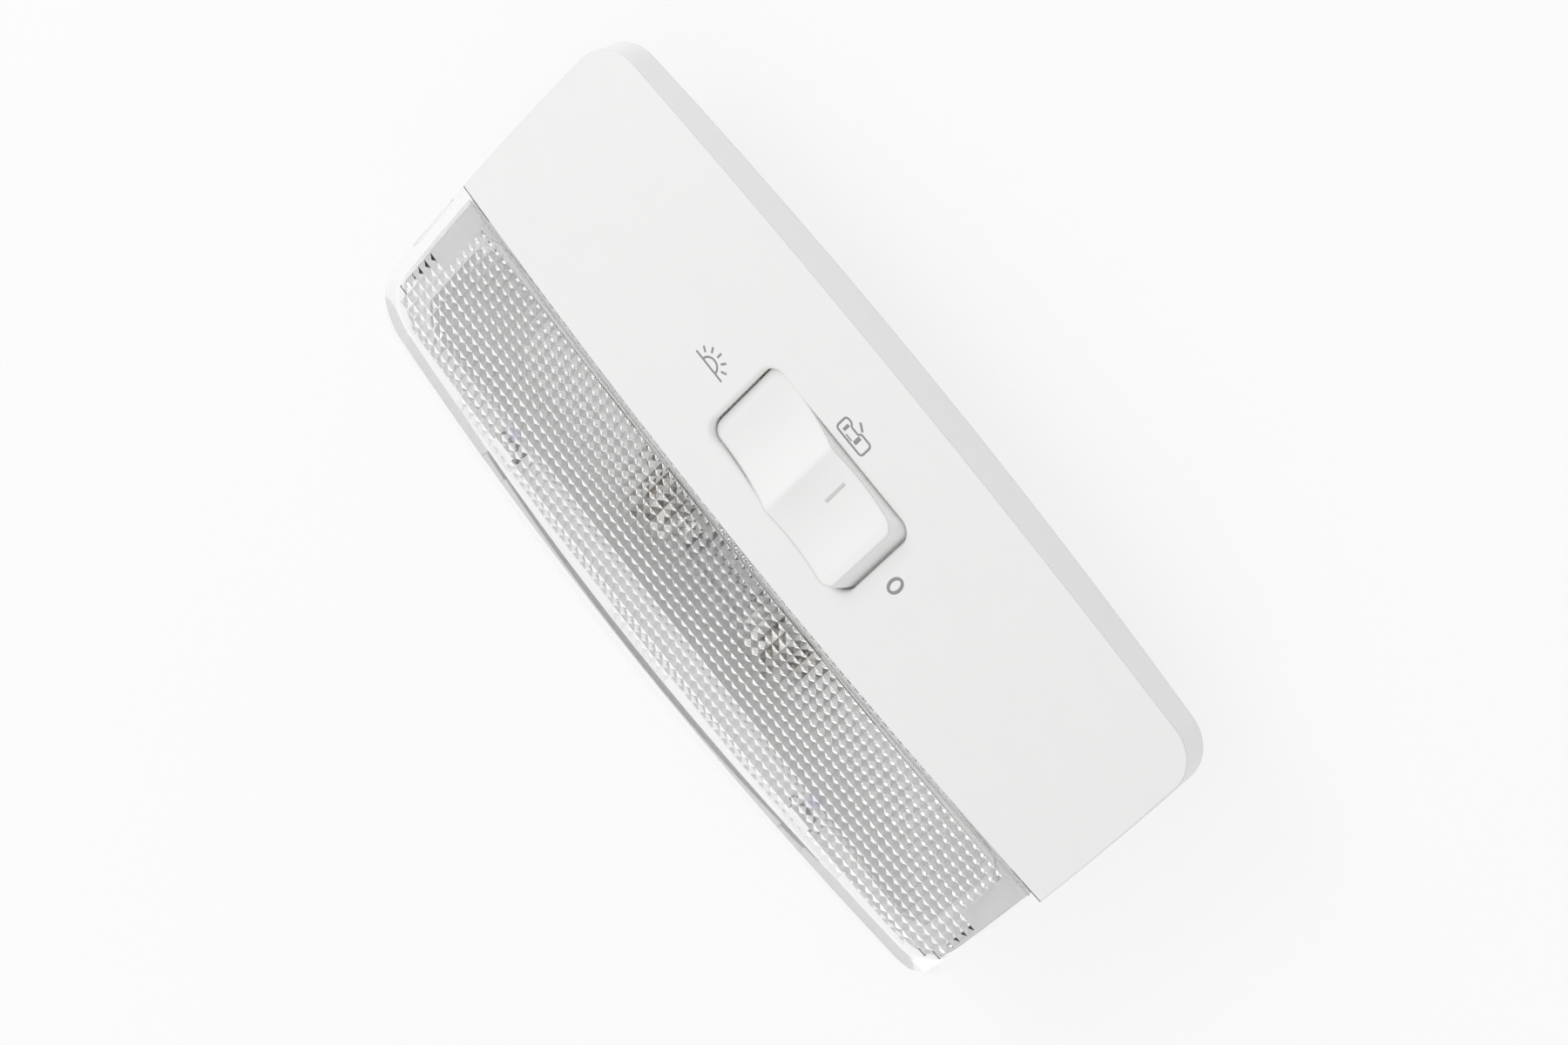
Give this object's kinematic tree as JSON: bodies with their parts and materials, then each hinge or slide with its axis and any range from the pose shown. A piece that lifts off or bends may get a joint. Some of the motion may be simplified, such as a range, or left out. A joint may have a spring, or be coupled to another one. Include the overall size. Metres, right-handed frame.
{
  "type": "car courtesy light",
  "caption": "White car interior lamp with a clear prismatic lens along one side, a festoon bulb behind it and a rocker switch in the panel.",
  "frame": {"origin": "on the headliner seat plane, at the middle of the line where lens and panel meet", "axes": "+X along the lamp towards the off end of the rocker, +Y from the lens to the rocker panel, +Z out of the visible face"},
  "size_m": [0.1586, 0.0818, 0.0295],
  "materials": {
    "clear_acrylic": "clear, prismatic inside, polished outside",
    "white_plastic": "satin white moulding",
    "reflector_metal": "pressed sheet, satin",
    "bulb_glass": "clear tube",
    "cap_metal": "nickel-plated caps",
    "tungsten": "drawn wire",
    "contact_bronze": "stamped strip",
    "rivet_brass": "turned rivet",
    "carrier_nylon": "pale grey moulding",
    "zinc_steel": "zinc-plated",
    "spring_steel": "blued spring steel",
    "plunger_acetal": "smooth natural acetal"
  },
  "bodies": {
    "lamp": {"lens": "clear_acrylic", "housing": "white_plastic", "reflector": "reflector_metal", "bulb_glass": "bulb_glass", "bulb_cap_left": "cap_metal", "bulb_cap_right": "cap_metal", "bulb_filament": "tungsten", "feed_contact": "contact_bronze", "switched_contact": "contact_bronze", "door_terminal": "contact_bronze", "earth_terminal": "contact_bronze", "carrier": "carrier_nylon", "carrier_screws": "zinc_steel", "retaining_clip_lens_side": "spring_steel", "retaining_clip_panel_side": "spring_steel"},
    "rocker_switch": {"rocker": "white_plastic", "contact_wiper": "contact_bronze", "wiper_rivets": "rivet_brass", "detent_spring": "spring_steel"},
    "plunger": {"detent_plunger": "plunger_acetal"}
  },
  "joints": [
    {"name": "rocker_tilt", "type": "hinge", "parent": "lamp", "child": "rocker_switch", "pos_m": [0, 0.0185, 0.001], "axis": [0, 1, 0], "range_deg": [0, 14]},
    {"name": "plunger_slide", "type": "slide", "parent": "rocker_switch", "child": "plunger", "axis": [0.1219, 0, -0.9925], "range_m": [-0.0006, 0.00025], "stiffness_N_per_m": 300, "deforming": ["detent_spring"]}
  ]
}
